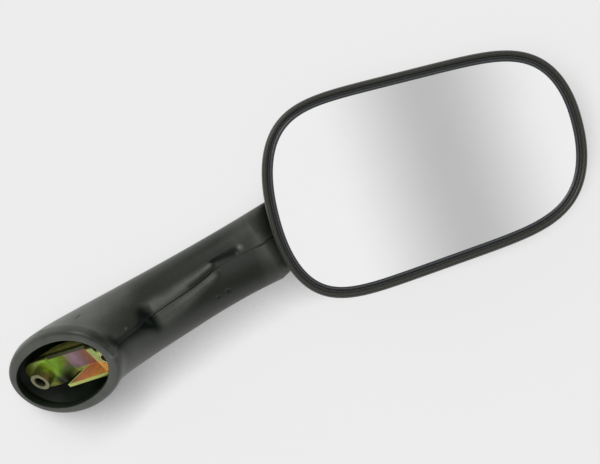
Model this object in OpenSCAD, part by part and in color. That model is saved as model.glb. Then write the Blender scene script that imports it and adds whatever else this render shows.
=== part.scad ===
// Motorcycle fairing mirror, right-hand side, millimetres.
// The frame is the mounted mirror's own: +X outboard, +Z up, +Y forward, away from the rider.
// The origin is the centre of the threaded boss's end face, where the mirror seats on the fairing.

/* [Mount frame] */
// Lean of the mounting plane about its level long axis
mount_lean = 124; // [115:1:135]
// Turn of the mounting plane's long axis about the vertical
mount_yaw = -40; // [-50:1:-30]
// Glass centre from the boss, outboard
head_x = 221; // [205:1:240]
// Glass face from the boss, towards the rider
head_y = -40; // [-44:0.5:-36]
// Glass centre above the boss
head_z = 42.1; // [38:0.1:48]

/* [Head] */
// Half width of the head across its rim
head_half_w = 82.3; // [76:0.5:95]
// Half height of the head across its rim
head_half_h = 50.4; // [46:0.5:60]
// Flatness of the rim outline's long sides, where 2 is an ellipse
side_square = 5.1; // [3:0.1:6]
// Flatness of the rim outline's two ends, where 2 is an ellipse
end_square = 2.2; // [2:0.1:3]
// Share by which the outboard end is lower than the middle
head_taper = 0.08; // [0:0.001:0.12]
// Sideways lean of the outline's corners
head_shear = 0.05; // [0:0.01:0.08]
// Turn of the rim outline, outboard end down
head_turn = 1.4; // [0:0.1:3]
// Outline centre outboard of the glass centre
head_shift = 1.9; // [0:0.2:4]
// Depth of the head from the glass face to its back
head_depth = 44; // [42:0.5:52]
// Fullness of the bowl from rim to back
bowl_full = 2; // [1.7:0.1:2.6]
// Wall of the moulded shell
shell_wall = 2.5; // [2:0.1:3.2]
// Step from the trim ring in to the shell's side
shell_step = 0.8; // [0.4:0.1:1.4]

/* [Glass and trim ring] */
// Visible width of the trim ring
ring_w = 5.7; // [5:0.1:8]
// Width of the ring's outer bead
bead_w = 3.1; // [2.4:0.1:3.6]
// Height of the outer bead in front of the glass face
bead_rise = 2.1; // [1.2:0.1:3]
// Height of the inner band in front of the glass face
band_rise = 1.3; // [0.8:0.1:2]
// Overlap of the ring's lips on the glass
lip_w = 1.5; // [1:0.1:2.5]
// Thickness of the lip behind the glass
lip_t = 1.6; // [1.2:0.1:2.4]
// Length of the ring's locating skirt inside the shell
skirt_l = 1.5; // [1:0.1:3]
// Thickness of the mirror glass
glass_t = 3; // [2:0.5:4]
// Thickness of the foam pad behind the glass
pad_t = 2; // [1:0.5:3]

/* [Ball joint] */
// Ball centre from the inboard end of the rim outline's half width
ball_from_end = 23.8; // [21:0.1:27]
// Ball centre behind the glass face
ball_deep = 26; // [25:0.5:30]
// Ball centre below the glass centre
ball_low = 2.2; // [0:0.2:6]
// Radius of the ball
ball_r = 8.5; // [7.5:0.1:9.5]
// Thickness of the nylon seats
seat_t = 2.4; // [2:0.1:3]
// Running gap at each spherical face
ball_gap = 0.1; // [0.05:0.01:0.15]
// Distance from the ball centre to the edge of each seat
seat_edge = 5.6; // [5:0.1:6.5]
// Sheet thickness of the clamp plates
clamp_t = 1.5; // [1.2:0.1:2]
// Distance from the ball centre to the inner face of each clamp plate
clamp_half = 6; // [5.5:0.1:6.5]
// Distance of the outboard clamp screw from the ball centre
screw_out = 16; // [15:0.5:20]
// Offset of the two inboard clamp screws towards the arm
screw_in = 5; // [4:0.5:6]
// Height of the two inboard clamp screws above and below the ball centre
screw_up = 14.5; // [14:0.5:15]
// Radius of the clamp plates' corners
clamp_corner = 4.5; // [4.5:0.5:6]
// Radius of the rounded hub that the arm meets
hub_r = 24; // [23:0.5:25]
// Gap between the hub and the arm cover
hub_gap = 1.2; // [1:0.1:2]
// Radius of the hole in the hub that the shank passes through
hub_hole_r = 11.5; // [11:0.1:12]
// Angle left free round the arm's end for the head's travel
neck_room = 14; // [12:1:15]

/* [Fasteners] */
// Thread diameter of the clamp screws
screw_d = 4; // [3:0.5:5]
// Head diameter of the clamp screws
screw_head_d = 7.5; // [7:0.5:8]
// Head height of the clamp screws
screw_head_h = 2.6; // [2:0.1:3.4]
// Depth of thread in the shell's posts
screw_bite = 5; // [4:0.5:6]
// Thickness of the flat washers under the disc springs
washer_t = 0.8; // [0.6:0.1:1.2]
// Sheet thickness of one disc spring
disc_t = 0.5; // [0.4:0.05:0.7]
// Height of the cone of one disc spring
disc_h = 0.5; // [0.3:0.1:0.8]
// Clearance of each screw in its hole
screw_gap = 0.2; // [0.1:0.05:0.4]

/* [Ball stud and stay] */
// Thread diameter of the stud's shank
shank_d = 8; // [7:0.5:10]
// Diameter of the shank's neck next to the ball
neck_d = 6.4; // [5.5:0.1:7]
// Distance from the ball centre to the end of the neck
neck_end = 15; // [14:0.5:18]
// Distance from the ball centre to the near face of the lock nut
nut_at = 27; // [26.5:0.5:30]
// Width across flats of the lock nut
nut_flats = 13; // [12:0.5:13]
// Height of the lock nut
nut_h = 6.5; // [5:0.5:8]
// Thickness of the lock washer
lock_washer_t = 1.6; // [1:0.1:2]
// Depth of the threaded plug in the stay tube
plug_l = 18; // [14:1:24]
// Outer diameter of the stay tube
stay_d = 15; // [15:0.5:16]
// Wall of the stay tube
stay_wall = 2; // [1.5:0.25:2.5]
// Where the tube meets the bracket, from the boss along the bracket
stay_foot_x = 27; // [25:0.5:29]
// Where the tube meets the bracket, across the bracket
stay_foot_y = 1; // [-1:0.5:2]
// Clearance of the cover's bore round the tube
stay_gap = 0.3; // [0.2:0.05:0.5]

/* [Arm cover] */
// Half height of the cover at the head end
neck_half_h = 17.5; // [16.5:0.5:19]
// Half depth of the cover at the head end
neck_half_d = 12; // [11:0.5:12.5]
// Extra height of the flare on the cover's lower edge at the head
neck_flare = 0.5; // [0:0.5:3]
// Room from the bracket's ends to the outside of the cover's oval foot
foot_end_room = 10.5; // [8:0.5:12]
// Room from the bracket's sides to the outside of the cover's oval foot
foot_side_room = 16; // [14:0.5:18]
// Turn of the oval foot from the bracket's long axis
foot_turn = 14; // [4:1:18]
// Foot centre from the boss, along the bracket
foot_x = 23.5; // [20:0.5:28]
// Foot centre from the boss, across the bracket
foot_y = 3; // [0:0.5:4]
// Height of the rubber rim beyond the boss's end face
foot_rise = 3; // [2:0.5:4]
// Width of the foot's flat rim
foot_lip = 6; // [5:0.1:6.5]
// Wall of the hollow part of the cover
cover_wall = 2.5; // [2:0.25:3.5]
// Rounding of the foot's outer edge
foot_round = 3; // [2:0.25:4]
// Squareness of the cover's sections, where 2 is an ellipse
cover_square = 2.1; // [2:0.1:2.6]
// Length over which the foot stands square to its seat
foot_straight = 11; // [8:1:16]
// Share of the arm's length that is hollow
cavity_share = 0.62; // [0.5:0.01:0.7]

/* [Bracket] */
// Sheet thickness of the bracket
sheet_t = 2; // [1.6:0.1:2.5]
// Width of the bracket over its flanges
bracket_w = 19; // [18:0.5:21]
// Depth of the boss's seat below the mounting plane
boss_l = 6; // [5.5:0.5:7]
// Depth of the web below the mounting plane
web_deep = 12.5; // [11:0.5:14]
// Depth of the second hole's seat below the mounting plane
seat_deep = 3.5; // [2:0.5:5]
// Distance between the two mounting threads
mount_pitch = 50; // [48:0.5:51]
// Inner end of the boss's seat, where it folds down
fold_x = 8.5; // [7:0.5:10]
// Outboard end of the flat web
web_end = 38; // [36:0.5:40]
// Length of the slope from the web to the second seat
ramp_l = 5; // [4:0.5:6]
// Reach of the first seat beyond the boss
seat_reach = 8.5; // [8:0.5:10.5]
// Radius of the first seat's corners
seat_corner = 8; // [5:0.5:8.5]
// Radius of the second seat's round end
seat_end_r = 6.5; // [6:0.5:9]
// Bend radius of the sheet at its mid-line
bend_r = 2.2; // [1.5:0.1:3]
// Height of the upper flange's free edge below the mounting plane
upper_edge = 7; // [6:0.5:8]
// Height of the lower flange's free edge below the mounting plane
lower_edge = 1.5; // [0:0.5:3]
// Start of the lower flange at the web
lower_start = 24; // [20:0.5:26]
// Slant of the lower flange's end, towards the boss at its free edge
lower_slant = 10; // [6:0.5:12]
// Outer diameter of the threaded boss
boss_d = 11; // [10:0.5:12]
// Tapped hole of the mounting threads
thread_hole_d = 5.2; // [4.5:0.1:6.2]
// Diameter of the boss's staked tail
tail_d = 8; // [7:0.5:9]
// Height of the staked head behind the sheet
stake_h = 1; // [0.6:0.1:1.4]
// Hole in the far seat that the clinch nut's shank fills
seat_hole_d = 7; // [6.4:0.1:7.4]
// Width across flats of the clinch nut
clinch_nut_flats = 10; // [9:0.5:11]
// Height of the clinch nut behind the sheet
clinch_nut_h = 5; // [4:0.5:6]

/* [Hidden] */
$fn = 96;
// Columns round the head, and rows from its rim to its back
head_cols = 72;
shell_rows = 13;
// How far the rows crowd towards the rim, where 1 is even
row_bunch = 1.35;
// Points round the arm cover
cover_cols = 44;
// A little extra length for cuts that pass right through
eps = 0.05;

// Directions of the mounting plane: along the bracket, across it, and out towards the fairing
mount_u = [cos(mount_yaw), sin(mount_yaw), 0];
mount_v = [-sin(mount_yaw) * cos(mount_lean), cos(mount_yaw) * cos(mount_lean), sin(mount_lean)];
mount_n = [sin(mount_yaw) * sin(mount_lean), -cos(mount_yaw) * sin(mount_lean), cos(mount_lean)];
head_at = [head_x, head_y, head_z];
ball_in = head_half_w - ball_from_end;
foot_half_l = (mount_pitch + seat_reach + seat_end_r) / 2 + foot_end_room;
foot_half_w = bracket_w / 2 + foot_side_room;
ball_at = head_at + [-ball_in, ball_deep, -ball_low];
shell_front = glass_t + lip_t;
seat_r = ball_r + ball_gap + seat_t;
clamp_r = seat_r + ball_gap;
clamp_face = clamp_half + clamp_t;
cup_r = hub_r + hub_gap;
stay_r = stay_d / 2;
tube_at = nut_at + nut_h + lock_washer_t;
web_back = -web_deep - sheet_t;
stay_foot = mount_point([stay_foot_x, stay_foot_y, web_back]);
stay_dir = unit(stay_foot - ball_at);
stay_l = norm(stay_foot - ball_at);
clamp_points = [[screw_out, 0], [-screw_in, screw_up], [-screw_in, -screw_up]];

function unit(v) = v / norm(v);
function lerp(a, b, t) = a + (b - a) * t;
function spow(c, e) = sign(c) * pow(abs(c), e);
function mount_point(p) = p.x * mount_u + p.y * mount_v + p.z * mount_n;
function smooth_min(a, b, k) = min(a, b) - pow(max(k - abs(a - b), 0), 2) / (4 * k);
function smooth_max(a, b, k) = -smooth_min(-a, -b, k);

module at_head() {
    translate(head_at) children();
}

module at_ball() {
    translate(ball_at) children();
}

// Turns +Z onto the stay's axis, with its foot at the ball centre
module along_stay() {
    translate(ball_at)
        rotate([0, acos(stay_dir.z), atan2(stay_dir.y, stay_dir.x)]) children();
}

// Local +Z is the outward normal of the mounting plane
module at_mount() {
    rotate([mount_lean, 0, mount_yaw]) children();
}

// Extrudes an outline in X and Z from depth y0 to depth y1
module depth_extrude(y0, y1) {
    translate([0, y1, 0])
        rotate([90, 0, 0]) linear_extrude(y1 - y0) children();
}

// Cylinder along +Y from y0 to y1
module depth_rod(r, y0, y1) {
    translate([0, y1, 0])
        rotate([90, 0, 0]) cylinder(r = r, h = y1 - y0);
}

// Faces of a tube of rings; ring i joins ring i + 1, and the last joins the first if looped
function ring_faces(rings, cols, looped) = [
    for (i = [0 : rings - (looped ? 1 : 2)], j = [0 : cols - 1])
        let (a = i * cols, b = ((i + 1) % rings) * cols, k = (j + 1) % cols)
            each [[a + j, b + j, b + k], [a + j, b + k, a + k]]
];

// Reach of a squared oval of half width and half height 1 at an angle, found by halving
function oval_reach(phi, lo = 0.9, hi = 1.5, n = 14) =
    let (mid = (lo + hi) / 2,
        out = pow(abs(mid * cos(phi)), side_square) + pow(abs(mid * sin(phi)), end_square) > 1)
    n == 0 ? mid : oval_reach(phi, out ? lo : mid, out ? mid : hi, n - 1);

// Rim outline of the head as a squared oval that narrows outboard
function head_curve(phi, in) =
    let (x = oval_reach(phi) * cos(phi), v = (head_half_h - in) * oval_reach(phi) * sin(phi)
            * (1 - head_taper * x))
    [head_shift, 0] + turned([(head_half_w - in) * x + head_shear * v, v], -head_turn);

// The same outline moved in by a true distance, square to itself
function head_inset(phi, d) =
    let (t = head_curve(phi + 0.5, 0) - head_curve(phi - 0.5, 0), n = unit([-t.y, t.x]))
    head_curve(phi, 0) + d * n;

head_angles = [for (j = [0 : head_cols - 1]) (j + 0.5) * 360 / head_cols];

// Distance outside the bowl, measured from the middle of its rim
function bowl_level(p) =
    let (q = p - [head_shift, shell_front, 0], a = head_half_w - shell_step,
        b = head_half_h - shell_step, flat = turned([q.x, q.z], head_turn),
        u = (flat.x - head_shear * flat.y) / a, v = flat.y / (b * (1 - head_taper * u)),
        side = pow(pow(abs(u), side_square) + pow(abs(v), end_square),
            2 * bowl_full / (side_square + end_square)),
        g = pow(side + pow(max(q.y, 0) / (head_depth - shell_front), bowl_full), 1 / bowl_full))
    norm(q) * (1 - 1 / max(g, 0.001));

// Distance inside a cone about the arm that leaves room for its end as the head turns
function relief_level(w) =
    let (wide = tan(asin(neck_half_d / cup_r) + neck_room), high = tan(asin(neck_half_h / cup_r) + neck_room))
    ((w * arm_dir) * wide - norm([w * arm_front, (w * arm_up) * wide / high])) / norm([1, wide]);

// Distance outside the shell: the bowl, hollowed for the arm, joined to the hub and cut at the back
function shell_level(p) =
    let (w = p - [-ball_in, ball_deep, -ball_low], blend = lerp(3, 12, min(max(w.y / 14, 0), 1)),
        bowl = smooth_max(bowl_level(p), relief_level(w), 5))
    smooth_max(smooth_min(bowl, norm(w) - hub_r, blend), p.y - head_depth, 6);

// Where a ray from inside the shell leaves its surface, found by halving
function surface_hit(from, dir, wall, lo = 0, hi = 3, n = 18) =
    n == 0 ? from + (lo + hi) / 2 * dir :
    let (mid = (lo + hi) / 2, out = shell_level(from + mid * dir) + wall > 0)
    surface_hit(from, dir, wall, out ? lo : mid, out ? mid : hi, n - 1);

// The inside point that the shell's surface is seen from, and how far behind it the pole lies
shell_eye = [-ball_in + 0.7 * hub_r, 0.45 * head_depth, -ball_low];
pole_reach = 1.4 * head_depth;

// One ring of the shell's surface, from the rim at 0 towards the back at 90 degrees
function shell_ring(turn, wall) = [
    for (phi = head_angles)
        let (rim = head_curve(phi, shell_step), q = rim - [head_shift, 0],
            start = [head_shift, 0] + q * (1 - wall / norm(q)),
            point = [start.x, shell_front, start.y], out = point - shell_eye)
        turn == 0 ? point :
        surface_hit(shell_eye, cos(turn) * out + sin(turn) * [0, pole_reach, 0], wall)
];

module head_shell() {
    turns = [for (i = [0 : shell_rows - 1]) 90 * pow(i / shell_rows, row_bunch)];
    outer = [for (t = turns) each shell_ring(t, 0)];
    inner = [for (i = [shell_rows - 1 : -1 : 0]) each shell_ring(turns[i], shell_wall)];
    poles = [for (wall = [0, shell_wall]) surface_hit(shell_eye, [0, pole_reach, 0], wall)];
    rings = 2 * shell_rows;
    pole = rings * head_cols;
    last = (shell_rows - 1) * head_cols;
    walls = [for (f = ring_faces(rings, head_cols, true))
        if (!(min(f) >= last && max(f) < last + 2 * head_cols
            && min(f) < last + head_cols && max(f) >= last + head_cols)) [f[0], f[2], f[1]]];
    caps = [for (j = [0 : head_cols - 1]) let (k = (j + 1) % head_cols)
        each [[last + j, last + k, pole], [last + head_cols + j, pole + 1, last + head_cols + k]]];
    color("#26282a") at_head()
        difference() {
            union() {
                polyhedron(points = concat(outer, inner, poles), faces = concat(walls, caps));
                for (p = clamp_points)
                    translate([p.x - ball_in, ball_deep, p.y - ball_low])
                        depth_rod(screw_d, clamp_face, post_top(p));
            }
            for (p = clamp_points)
                translate([p.x - ball_in, ball_deep, p.y - ball_low])
                    depth_rod(screw_d / 2 + eps, clamp_face - 1, clamp_face + screw_bite);
            shank_opening();
        }
}

// Depth behind the ball centre at which a post is inside the shell's wall
function post_top(p) =
    let (eye = [p.x - ball_in, ball_deep, p.y - ball_low])
    surface_hit(eye, [0, head_depth / 2, 0], shell_wall / 2).y - ball_deep;

module shank_opening() {
    translate([-ball_in, ball_deep, -ball_low])
        rotate([0, acos(stay_dir.z), atan2(stay_dir.y, stay_dir.x)])
            translate([0, 0, hub_r - 3 * shell_wall]) cylinder(r = hub_hole_r, h = 4 * shell_wall);
}

// The skirt's outer side, clear of the shell's wall
skirt_in = shell_step + shell_wall + 2;

// Section of the trim ring: distance in from the outline, and depth behind the glass face
ring_section = [
    [0, shell_front], [0, 0.6], [0.35, -bead_rise * 0.5], [bead_w * 0.4, -bead_rise * 0.95],
    [bead_w * 0.72, -bead_rise], [bead_w, -bead_rise * 0.72], [bead_w + 0.35, -bead_rise * 0.3],
    [bead_w + 0.8, -band_rise], [ring_w - 0.6, -band_rise * 0.9], [ring_w, -band_rise * 0.45],
    [ring_w, 0], [ring_w - lip_w, 0], [ring_w - lip_w, glass_t], [ring_w + 0.6, glass_t],
    [ring_w + 0.6, shell_front + skirt_l],
    [skirt_in, shell_front + skirt_l], [skirt_in, shell_front]
];

module trim_ring() {
    points = [for (s = ring_section, phi = head_angles)
        let (p = head_inset(phi, s.x)) [p.x, s.y, p.y]];
    color("#3a3f3e") at_head()
        polyhedron(points = points, faces = ring_faces(len(ring_section), head_cols, true));
}

module mirror_glass() {
    color("#dfe3e4") at_head()
        depth_extrude(0, glass_t)
            polygon([for (phi = head_angles) head_inset(phi, ring_w - lip_w)]);
}

module glass_pad() {
    color("#4a4a4a") at_head()
        depth_extrude(glass_t, glass_t + pad_t)
            polygon([for (phi = head_angles) head_inset(phi, ring_w + 2.5)]);
}

// Rounded triangle through the three clamp screws
module clamp_outline() {
    for (p = clamp_points) translate(p) circle(r = clamp_corner);
    polygon([for (i = [0 : 2]) let (p = clamp_points[i], q = clamp_points[(i + 1) % 3],
        d = unit(q - p), n = clamp_corner * [d.y, -d.x]) each [p + n, q + n]]);
}

// Pressed plate with a dome for one nylon seat, on the +Y side of the ball
module clamp_plate() {
    difference() {
        union() {
            depth_extrude(clamp_half, clamp_face) clamp_outline();
            intersection() {
                sphere(r = clamp_r + clamp_t);
                depth_rod(clamp_r + 2 * clamp_t, clamp_half, clamp_r + 2 * clamp_t);
            }
        }
        sphere(r = clamp_r);
        for (p = clamp_points)
            translate([p.x, 0, p.y]) depth_rod(screw_d / 2 + screw_gap, 0, clamp_face + 1);
    }
}

module clamp_rear() {
    color("#b9b48f") at_ball() clamp_plate();
}

module clamp_front() {
    color("#b9b48f") at_ball() mirror([0, 1, 0]) clamp_plate();
}

springs_l = 4 * (disc_h + disc_t);

module clamp_screws() {
    under_head = -clamp_face - washer_t - springs_l;
    color("#8f9296") at_ball()
        for (p = clamp_points)
            translate([p.x, 0, p.y]) {
                depth_rod(screw_d / 2, under_head - eps, clamp_face + screw_bite - 0.5);
                difference() {
                    depth_rod(screw_head_d / 2, under_head - screw_head_h, under_head);
                    for (a = [0, 90]) rotate([0, a, 0])
                        translate([-screw_d * 0.55, under_head - screw_head_h - 1, -0.45])
                            cube([screw_d * 1.1, 2.2, 0.9]);
                }
            }
}

module clamp_washers() {
    color("#a7aaad") at_ball()
        for (p = clamp_points)
            translate([p.x, 0, p.y])
                difference() {
                    depth_rod(screw_head_d / 2 + 0.5, -clamp_face - washer_t, -clamp_face);
                    depth_rod(screw_d / 2 + screw_gap, -clamp_face - 2 * washer_t, 0);
                }
}

// Four disc springs nested back to back under each screw head
module clamp_springs() {
    inner = screw_d / 2 + screw_gap;
    outer = screw_head_d / 2;
    step = disc_h + disc_t;
    color("#77797c") at_ball()
        for (p = clamp_points)
            translate([p.x, -clamp_face - washer_t, p.y]) rotate([90, 0, 0])
                rotate_extrude()
                    for (i = [0 : 3])
                        let (low = i % 2 == 0 ? 0 : disc_h, high = disc_h - low)
                        polygon([[inner, i * step + low], [outer, i * step + high],
                            [outer, i * step + high + disc_t], [inner, i * step + low + disc_t]]);
}

// Nylon cap that lines one clamp plate, on the +Y side of the ball
module ball_seat() {
    difference() {
        intersection() {
            sphere(r = seat_r);
            depth_rod(seat_r + 1, seat_edge, seat_r + 1);
        }
        sphere(r = ball_r + ball_gap);
    }
}

module seat_rear() {
    color("#e4e2d6") at_ball() ball_seat();
}

module seat_front() {
    color("#e4e2d6") at_ball() mirror([0, 1, 0]) ball_seat();
}

module ball_stud() {
    color("#9a9da1") along_stay() {
        sphere(r = ball_r);
        cylinder(d = neck_d, h = neck_end);
        translate([0, 0, neck_end - 1]) cylinder(d1 = neck_d, d2 = shank_d, h = 1);
        translate([0, 0, neck_end]) cylinder(d = shank_d, h = tube_at + plug_l - neck_end - 3);
    }
}

module lock_nut() {
    color("#a9a57c") along_stay() translate([0, 0, nut_at])
        difference() {
            cylinder(d = nut_flats / cos(30), h = nut_h, $fn = 6);
            translate([0, 0, -1]) cylinder(d = shank_d + 2 * eps, h = nut_h + 2);
        }
}

module lock_washer() {
    color("#8d8f92") along_stay() translate([0, 0, nut_at + nut_h])
        difference() {
            cylinder(d = nut_flats + 1, h = lock_washer_t);
            translate([0, 0, -1]) cylinder(d = shank_d + 2 * screw_gap, h = lock_washer_t + 2);
        }
}

module stay_plug() {
    color("#8d8f92") along_stay() translate([0, 0, tube_at])
        difference() {
            cylinder(d = stay_d - 2 * stay_wall - 2 * eps, h = plug_l);
            translate([0, 0, -1]) cylinder(d = shank_d + 2 * eps, h = plug_l + 2);
        }
}

module stay_tube() {
    color("#b5ad70")
        intersection() {
            along_stay() translate([0, 0, tube_at])
                difference() {
                    cylinder(d = stay_d, h = stay_l - tube_at + 2 * stay_d);
                    translate([0, 0, -1]) cylinder(d = stay_d - 2 * stay_wall, h = stay_l + 2 * stay_d);
                }
            at_mount() translate([-stay_l, -stay_l, web_back - 2 * stay_l])
                cube([3 * stay_l, 2 * stay_l, 2 * stay_l]);
        }
}

// The arm cover's centre line runs square out of the foot and bends into the arm
foot_u = cos(foot_turn) * mount_u + sin(foot_turn) * mount_v;
foot_v = cos(foot_turn) * mount_v - sin(foot_turn) * mount_u;
foot_at = mount_point([foot_x, foot_y, foot_rise]);
girth_deep = foot_round + 1.5;
arm_dir = unit(foot_at - girth_deep * mount_n - ball_at);
arm_up = unit([0, 0, 1] - arm_dir.z * arm_dir);
arm_front = cross(arm_up, arm_dir);
neck_at = ball_at + cup_r * 0.9 * arm_dir;
arm_line = [foot_at - girth_deep * mount_n, foot_at - (girth_deep + foot_straight) * mount_n,
    lerp(foot_at, ball_at, 0.45) - foot_straight * 0.1 * mount_n, neck_at];

function bezier(p, t) = pow(1 - t, 3) * p[0] + 3 * t * pow(1 - t, 2) * p[1]
    + 3 * t * t * (1 - t) * p[2] + t * t * t * p[3];

cover_angles = [for (j = [0 : cover_cols - 1]) j * 360 / cover_cols];
function cover_oval(phi) = [spow(cos(phi), 2 / cover_square), spow(sin(phi), 2 / cover_square)];

// Section of the cover at share t of its length from the foot, moved in by a wall
function cover_ring(t, wall) =
    let (s = pow(1 - pow(t, 1.5), 2), c = bezier(arm_line, t),
        front = lerp(neck_half_d * arm_front, foot_half_l * foot_u, s),
        up = lerp(neck_half_h * arm_up, foot_half_w * foot_v, pow(1 - t, 1.2)),
        flare = neck_flare * pow(max(t - 0.7, 0) / 0.3, 2))
    [for (phi = cover_angles) let (o = cover_oval(phi))
        c + o.x * front * (1 - wall / norm(front))
        + o.y * (up * (1 - wall / norm(up)) + (o.y < 0 ? flare : 0) * unit(up))];

// Ring at the foot, moved in by d and set h below the rim plane
function foot_ring(d, h) = [
    for (phi = cover_angles) let (o = cover_oval(phi))
        foot_at - h * mount_n + o.x * (foot_half_l - d) * foot_u + o.y * (foot_half_w - d) * foot_v
];

// Ring on the spherical face that follows the hub, from the bore at 0 to the skin at 1
function cup_ring(f) = [
    for (phi = cover_angles)
        let (o = cover_oval(phi), skin = [o.x * neck_half_d,
                o.y * (neck_half_h + (o.y < 0 ? neck_flare : 0))],
            bore = (stay_r + stay_gap) * [cos(phi), sin(phi)], p = lerp(bore, skin, f))
        ball_at + p.x * arm_front + p.y * arm_up + sqrt(cup_r * cup_r - p * p) * arm_dir
];

// Ring of the bore round the stay tube at distance s from the ball centre
function bore_ring(s, r) =
    let (up = unit(arm_up - (arm_up * stay_dir) * stay_dir), front = cross(up, stay_dir))
    [for (phi = cover_angles) ball_at + s * stay_dir + r * (cos(phi) * front + sin(phi) * up)];

module arm_cover() {
    bore_r = stay_r + stay_gap;
    cavity_l = stay_l * (1 - cavity_share);
    rings = concat(
        [for (f = [0.25, 0.6, 0.88, 1]) cup_ring(f)],
        [for (i = [15 : -1 : 0]) cover_ring(0.96 * i / 15, 0)],
        [foot_ring(foot_round * 0.15, girth_deep * 0.5), foot_ring(foot_round * 0.5, girth_deep * 0.15),
            foot_ring(foot_round, 0), foot_ring(foot_lip - 0.5, 0), foot_ring(foot_lip, 0.6),
            foot_ring(foot_lip, girth_deep * 0.7)],
        [for (i = [0 : 6]) cover_ring(cavity_share * i / 6, cover_wall)],
        [bore_ring(cavity_l - 4, bore_r), bore_ring(cup_r + 3, bore_r)]
    );
    color("#2b302e")
        polyhedron(points = [for (r = rings) each r],
            faces = ring_faces(len(rings), cover_cols, true));
}

// One side of a bent strip: its mid-line moved sideways by o, with round bends
function strip_side(p, r, o) = concat(
    [p[0] + o * left_of(p[1] - p[0])],
    [for (i = [1 : len(p) - 2]) each bend_points(p[i - 1], p[i], p[i + 1], r, o)],
    [p[len(p) - 1] + o * left_of(p[len(p) - 1] - p[len(p) - 2])]
);
function left_of(d) = [-d.y, d.x] / norm(d);
function turned(v, a) = [v.x * cos(a) - v.y * sin(a), v.x * sin(a) + v.y * cos(a)];
function bend_points(a, b, c, r, o) =
    let (d0 = unit(b - a), d1 = unit(c - b), turn = atan2(cross(d0, d1), d0 * d1),
        side = sign(turn), start = b - r * tan(abs(turn) / 2) * d0,
        centre = start + side * r * left_of(d0))
    [for (f = [0 : 0.25 : 1]) centre - (side * r - o) * turned(left_of(d0), turn * f)];

module bent_strip(p, r, t, w) {
    rotate([90, 0, 0]) linear_extrude(w, center = true)
        polygon(concat(strip_side(p, r, t / 2), [for (i = [len(strip_side(p, r, 0)) - 1 : -1 : 0])
            strip_side(p, r, -t / 2)[i]]));
}

// Plan of the bracket: square-cut seat with rounded corners, round tab at the second hole
module bracket_plan() {
    inner = seat_corner - seat_reach;
    translate([inner, -bracket_w / 2]) square([mount_pitch - inner - 2, bracket_w]);
    translate([-seat_reach, -bracket_w / 2 + seat_corner])
        square([2 * seat_corner, bracket_w - 2 * seat_corner]);
    for (s = [-1, 1]) translate([inner, s * (bracket_w / 2 - seat_corner)]) circle(r = seat_corner);
    translate([mount_pitch, 0]) circle(r = seat_end_r);
}

// One side flange as an upright plate, from its outline in X and Z
module flange(side, outline) {
    translate([0, side * (bracket_w - sheet_t) / 2, 0]) rotate([90, 0, 0])
        linear_extrude(sheet_t, center = true) polygon(outline);
}

module mount_bracket() {
    mid = -sheet_t / 2;
    line = [[-seat_reach - 1, mid - boss_l], [fold_x, mid - boss_l],
        [fold_x + (web_deep - boss_l) * 0.8, mid - web_deep], [web_end, mid - web_deep],
        [web_end + ramp_l, mid - seat_deep], [mount_pitch + seat_end_r + 1, mid - seat_deep]];
    slope_end = fold_x + (web_deep - boss_l) * 0.8;
    upper_start = seat_corner - seat_reach;
    color("#b6a45a") at_mount()
        difference() {
            union() {
                intersection() {
                    bent_strip(line, bend_r, sheet_t, bracket_w);
                    translate([0, 0, -2 * web_deep]) linear_extrude(2 * web_deep + 1) bracket_plan();
                }
                flange(1, [[upper_start, -boss_l - sheet_t], [slope_end, -web_deep - sheet_t],
                    [web_end, -web_deep - sheet_t], [web_end + ramp_l, -upper_edge - 1],
                    [web_end + ramp_l, -upper_edge], [upper_start, -upper_edge]]);
                flange(-1, [[lower_start, -web_deep - sheet_t], [web_end, -web_deep - sheet_t],
                    [web_end + ramp_l, -seat_deep - sheet_t], [web_end + ramp_l + 2, -seat_deep - 1],
                    [web_end + ramp_l + 2, -lower_edge - 1], [lower_start - lower_slant, -lower_edge]]);
            }
            translate([0, 0, -boss_l - 2 * sheet_t]) cylinder(d = tail_d, h = 3 * sheet_t);
            translate([mount_pitch, 0, -seat_deep - 2 * sheet_t])
                cylinder(d = seat_hole_d, h = 3 * sheet_t);
        }
}

module mount_boss() {
    color("#b6a45a") at_mount()
        difference() {
            union() {
                translate([0, 0, -boss_l]) cylinder(d = boss_d, h = boss_l);
                translate([0, 0, -boss_l - sheet_t]) cylinder(d = tail_d - 2 * eps, h = sheet_t + 1);
                translate([0, 0, -boss_l - sheet_t - stake_h]) cylinder(d = tail_d + 1, h = stake_h);
            }
            translate([0, 0, -boss_l - 3 * sheet_t]) cylinder(d = thread_hole_d, h = boss_l + 4 * sheet_t);
        }
}

module clinch_nut() {
    shank_h = sheet_t - 2 * eps;
    color("#9f9a6c") at_mount()
        translate([mount_pitch, 0, -seat_deep - sheet_t - clinch_nut_h])
            difference() {
                union() {
                    cylinder(d = clinch_nut_flats / cos(30), h = clinch_nut_h, $fn = 6);
                    cylinder(d = seat_hole_d - 2 * eps, h = clinch_nut_h + shank_h);
                }
                translate([0, 0, -1]) cylinder(d = thread_hole_d, h = clinch_nut_h + shank_h + 2);
            }
}

head_shell();
trim_ring();
mirror_glass();
glass_pad();
clamp_rear();
clamp_front();
clamp_screws();
clamp_washers();
clamp_springs();
seat_rear();
seat_front();
ball_stud();
lock_nut();
lock_washer();
stay_plug();
stay_tube();
arm_cover();
mount_bracket();
mount_boss();
clinch_nut();
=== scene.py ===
# %% [markdown]
# # A motorcycle mirror, dressed
#
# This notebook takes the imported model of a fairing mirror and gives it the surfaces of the
# real one: a soft rubber arm with its moulding seam, a two-step trim ring, silvered glass and
# a folded bracket with rainbow-coloured plating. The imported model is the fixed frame. Every
# new piece is made in the same place and at the same size, and rides on one of its bodies.

import math

import bmesh
import bpy
import numpy as np
from mathutils import Matrix, Vector


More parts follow.
